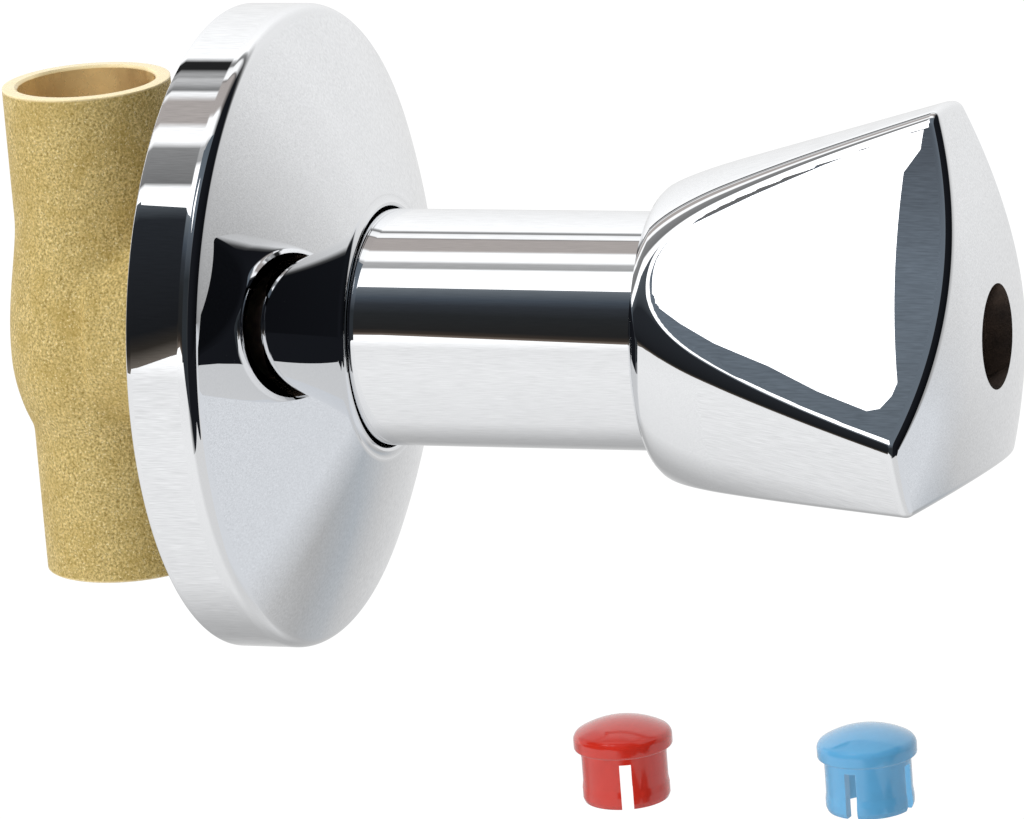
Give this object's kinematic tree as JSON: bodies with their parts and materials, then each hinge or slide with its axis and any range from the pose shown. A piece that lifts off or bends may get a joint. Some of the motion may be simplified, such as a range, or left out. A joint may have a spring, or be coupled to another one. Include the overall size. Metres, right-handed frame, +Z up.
{
  "type": "concealed stop valve",
  "caption": "Concealed stop valve for copper tube: cast brass body, headwork, cover sleeve, sliding rosette, three-sided chrome handle and push-in index caps.",
  "frame": {"origin": "where the axis of the pipe meets the axis of the spindle", "axes": "+Z up along the pipe, -Y out of the wall along the spindle towards the handle, +X to the right seen from the front"},
  "size_m": [0.07, 0.1126, 0.0877],
  "materials": {
    "cast_brass": "sand-cast brass, grainy, with machined lips and bores",
    "turned_brass": "turned brass",
    "chrome": "mirror chrome plating",
    "steel": "plain steel",
    "black_rubber": "black rubber",
    "fibre": "red-brown fibre sheet",
    "white_plastic": "white moulded plastic",
    "red_plastic": "glossy red moulded plastic",
    "blue_plastic": "glossy blue moulded plastic"
  },
  "bodies": {
    "valve": {"valve_body": "cast_brass", "bonnet": "turned_brass", "bonnet_gasket": "fibre", "slip_washer": "turned_brass", "cover_sleeve": "chrome", "sleeve_seal": "black_rubber", "index_cap_red": "red_plastic", "index_cap_blue": "blue_plastic"},
    "spindle_set": {"spindle": "turned_brass", "spindle_o_ring_inner": "black_rubber", "spindle_o_ring_outer": "black_rubber", "thrust_washer": "white_plastic", "circlip": "steel", "handle": "chrome", "handle_insert": "white_plastic", "handle_screw": "steel", "screw_washer": "steel"},
    "carrier_set": {"valve_carrier": "turned_brass", "carrier_o_ring": "black_rubber", "seat_washer": "black_rubber", "washer_screw": "turned_brass"},
    "rosette_set": {"rosette": "chrome", "rosette_ring": "black_rubber"}
  },
  "joints": [
    {"name": "handle_turn", "type": "hinge", "parent": "valve", "child": "spindle_set", "pos_m": [0, 0, 0], "axis": [0, -1, 0], "range_deg": [0, 900]},
    {"name": "valve_travel", "type": "slide", "parent": "valve", "child": "carrier_set", "axis": [0, -1, 0], "range_m": [0, 0.005]},
    {"name": "rosette_slide", "type": "slide", "parent": "valve", "child": "rosette_set", "axis": [0, -1, 0], "range_m": [-0.008, 0.032]}
  ],
  "couplings": [
    {"joint": "valve_travel", "follows": "handle_turn", "m_per_rad": 0.0003183}
  ]
}
